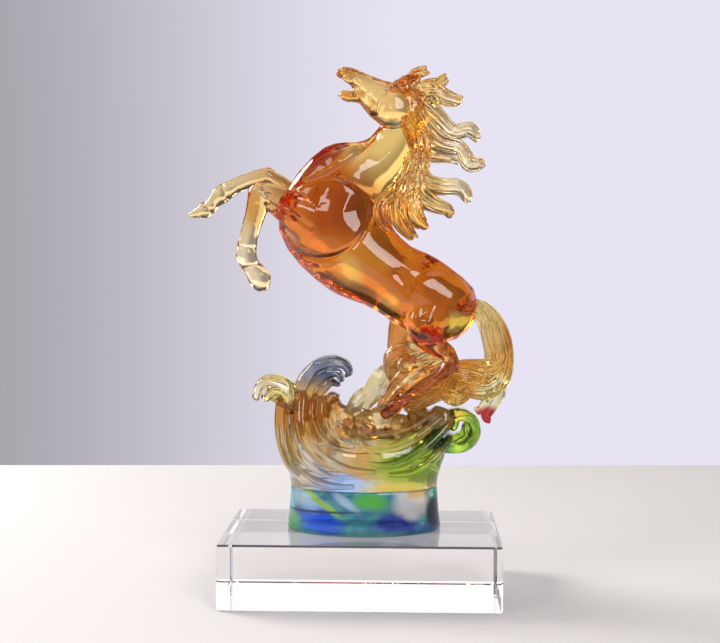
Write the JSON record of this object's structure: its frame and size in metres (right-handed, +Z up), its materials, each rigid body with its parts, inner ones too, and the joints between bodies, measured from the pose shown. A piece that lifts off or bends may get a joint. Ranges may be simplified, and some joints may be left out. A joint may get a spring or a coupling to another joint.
{
  "type": "cast glass figurine",
  "caption": "Rearing horse in amber and honey cast glass on a green and blue breaking wave, bonded to a clear bevelled glass plinth.",
  "frame": {"origin": "centre of the plinth's underside, where it rests on a shelf", "axes": "+Z up; the horse faces -X and its near side is -Y; the plinth's length is along X and its depth along Y"},
  "size_m": [0.182, 0.09, 0.288],
  "materials": {
    "clear_glass": "polished clear optical glass, flat faces and polished bevels",
    "bond_film": "water-clear cured adhesive",
    "foot_glass": "polished cast glass with blue, cyan and green swirls",
    "swell_glass": "polished cast glass, green to pale blue",
    "rib_glass": "polished cast glass, clear to amber",
    "ribbon_glass": "polished cast glass, straw to olive green",
    "pale_crest_glass": "polished cast glass, nearly clear with a yellow heart",
    "blue_crest_glass": "polished cast glass, smoky blue over an amber stem",
    "petal_glass": "smooth pale yellow cast glass",
    "splash_glass": "rounded amber cast glass",
    "green_glass": "polished cast glass, lime to bottle green",
    "amber_body_glass": "polished amber cast glass with cloudy honey patches",
    "honey_glass": "polished honey-yellow cast glass",
    "straw_limb_glass": "polished straw-yellow cast glass",
    "red_amber_glass": "polished red-amber cast glass",
    "mane_glass": "combed cast glass, straw to orange",
    "tail_glass": "combed cast glass, straw to orange",
    "red_tip_glass": "red-brown cast glass"
  },
  "bodies": {
    "root": {"plinth": "clear_glass", "bond_film": "bond_film", "casting_foot": "foot_glass", "swell": "swell_glass", "front_ribs": "rib_glass", "back_ribs": "rib_glass", "ribbon_waves": "ribbon_glass", "left_crest": "pale_crest_glass", "blue_crest": "blue_crest_glass", "spray_petals": "petal_glass", "splash_rocks": "splash_glass", "leg_foam": "splash_glass", "green_curl": "green_glass", "rump": "amber_body_glass", "barrel": "amber_body_glass", "chest": "amber_body_glass", "neck": "honey_glass", "head": "honey_glass", "lower_jaw": "honey_glass", "ears": "mane_glass", "fore_leg_near": "straw_limb_glass", "fore_leg_far": "straw_limb_glass", "hind_leg_near": "red_amber_glass", "hind_leg_far": "red_amber_glass", "mane_forelock": "mane_glass", "mane_crest": "mane_glass", "mane_fall": "mane_glass", "tail_root": "tail_glass", "tail_sweep": "tail_glass", "tail_tip": "red_tip_glass"}
  },
  "joints": []
}
